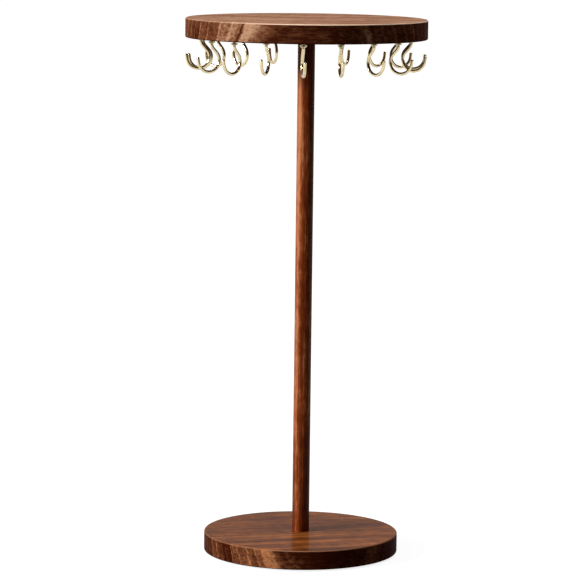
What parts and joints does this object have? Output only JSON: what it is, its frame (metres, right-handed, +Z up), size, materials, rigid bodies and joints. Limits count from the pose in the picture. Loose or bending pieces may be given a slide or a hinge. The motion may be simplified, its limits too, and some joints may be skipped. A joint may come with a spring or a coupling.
{
  "type": "necklace stand",
  "caption": "Free-standing wooden necklace stand: a round base and post carry a round top that turns on a hidden bearing, with brass hooks around its underside.",
  "frame": {"origin": "centre of the round foot, on the surface that the stand rests on", "axes": "+Z up along the post, -Y towards the front of the pictured view, +X to its right"},
  "size_m": [0.2, 0.2011, 0.4466],
  "materials": {
    "walnut": "satin oil",
    "hook_brass": "polished",
    "felt": "matt felt",
    "steel": "bright",
    "cage_nylon": "moulded"
  },
  "bodies": {
    "stand": {"base_felt": "felt", "base_disc": "walnut", "base_washer": "steel", "base_screw": "steel", "post": "walnut", "pivot_pin": "steel", "pivot_spacer": "steel", "bearing_inner_ring": "steel"},
    "ball_set": {"bearing_balls": "steel", "bearing_cage": "cage_nylon"},
    "top": {"top_disc": "walnut", "hook_collars": "hook_brass", "hook_01": "hook_brass", "hook_02": "hook_brass", "hook_03": "hook_brass", "hook_04": "hook_brass", "hook_05": "hook_brass", "hook_06": "hook_brass", "hook_07": "hook_brass", "hook_08": "hook_brass", "hook_09": "hook_brass", "hook_10": "hook_brass", "hook_11": "hook_brass", "hook_12": "hook_brass", "hook_13": "hook_brass", "hook_14": "hook_brass", "hook_15": "hook_brass", "hook_16": "hook_brass", "hook_17": "hook_brass", "hook_18": "hook_brass", "bearing_outer_ring": "steel", "bearing_lower_shield": "steel", "bearing_upper_shield": "steel"}
  },
  "joints": [
    {"name": "top_spin", "type": "hinge", "parent": "stand", "child": "top", "pos_m": [0, 0, 0.4341], "axis": [0, 0, 1], "continuous": true},
    {"name": "ball_orbit", "type": "hinge", "parent": "stand", "child": "ball_set", "pos_m": [0, 0, 0.4341], "axis": [0, 0, 1], "continuous": true}
  ],
  "couplings": [
    {"joint": "ball_orbit", "follows": "top_spin", "ratio": 0.60526}
  ]
}
